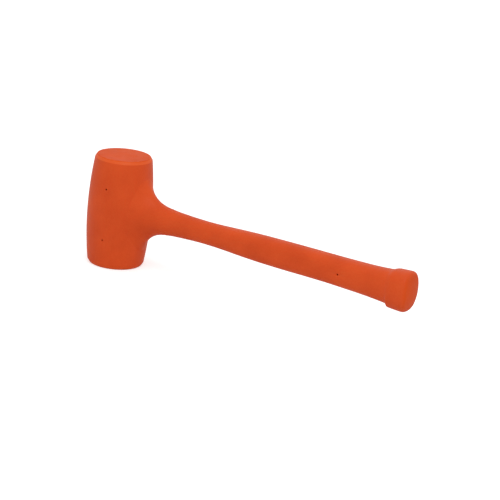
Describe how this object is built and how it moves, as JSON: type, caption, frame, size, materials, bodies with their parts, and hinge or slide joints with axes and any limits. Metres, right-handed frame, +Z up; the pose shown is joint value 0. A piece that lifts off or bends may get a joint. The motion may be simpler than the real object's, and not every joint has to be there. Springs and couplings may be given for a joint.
{
  "type": "dead blow mallet",
  "caption": "Dead blow mallet: urethane barrel head and grip cast in one piece over a welded steel canister and rod, with steel shot that slides inside the head.",
  "frame": {"origin": "centre of the lower striking face, on the head's axis", "axes": "+Z up the head's axis through both striking faces, +X from the head along the handle to the pommel, +Y across the handle"},
  "size_m": [0.3132, 0.0562, 0.097],
  "materials": {
    "urethane": "satin",
    "tube_steel": "matte",
    "cap_steel": "satin",
    "weld_metal": "matte",
    "spring_steel": "satin",
    "rod_steel": "satin",
    "shot_steel": "polished"
  },
  "bodies": {
    "mallet": {"urethane_cover": "urethane", "canister_tube": "tube_steel", "canister_cap_lower": "cap_steel", "canister_cap_upper": "cap_steel", "cap_seam_weld_lower": "weld_metal", "cap_seam_weld_upper": "weld_metal", "rod_socket": "tube_steel", "socket_weld": "weld_metal", "roll_pin": "spring_steel", "handle_rod": "rod_steel", "anchor_washer": "cap_steel"},
    "core_charge": {"shot_core": "shot_steel"},
    "inner_charge": {"shot_inner_ring": "shot_steel"},
    "middle_charge": {"shot_middle_ring": "shot_steel"},
    "outer_charge": {"shot_outer_ring": "shot_steel"}
  },
  "joints": [
    {"name": "core_shot_slide", "type": "slide", "parent": "mallet", "child": "core_charge", "axis": [0, 0, 1], "range_m": [0, 0.0115]},
    {"name": "inner_shot_slide", "type": "slide", "parent": "mallet", "child": "inner_charge", "axis": [0, 0, 1], "range_m": [0, 0.016]},
    {"name": "middle_shot_slide", "type": "slide", "parent": "mallet", "child": "middle_charge", "axis": [0, 0, 1], "range_m": [0, 0.016]},
    {"name": "outer_shot_slide", "type": "slide", "parent": "mallet", "child": "outer_charge", "axis": [0, 0, 1], "range_m": [0, 0.0205]}
  ]
}
